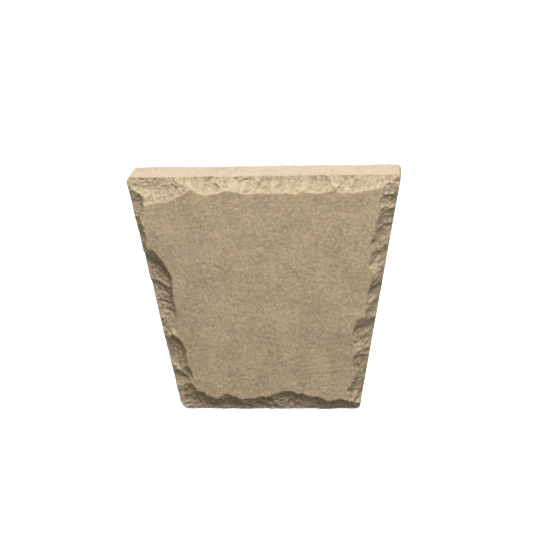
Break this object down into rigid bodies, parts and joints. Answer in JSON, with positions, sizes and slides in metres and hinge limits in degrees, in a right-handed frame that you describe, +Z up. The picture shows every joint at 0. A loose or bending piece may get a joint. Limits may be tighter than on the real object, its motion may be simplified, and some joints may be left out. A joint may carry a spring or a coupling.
{
  "type": "keystone",
  "caption": "Wedge-shaped arch keystone in buff cast stone, with a flat dressed face inside a pitched-off, flaked rock-face margin.",
  "frame": {"origin": "middle of the underside, on the surface that the stone stands on", "axes": "+Z up the stone, +X across its width with the face seen from the front, +Y from the dressed face to the back"},
  "size_m": [0.303, 0.064, 0.273],
  "materials": {
    "buff_stone": "matt, sandy, with a granular broken margin"
  },
  "bodies": {
    "root": {"keystone": "buff_stone"}
  },
  "joints": []
}
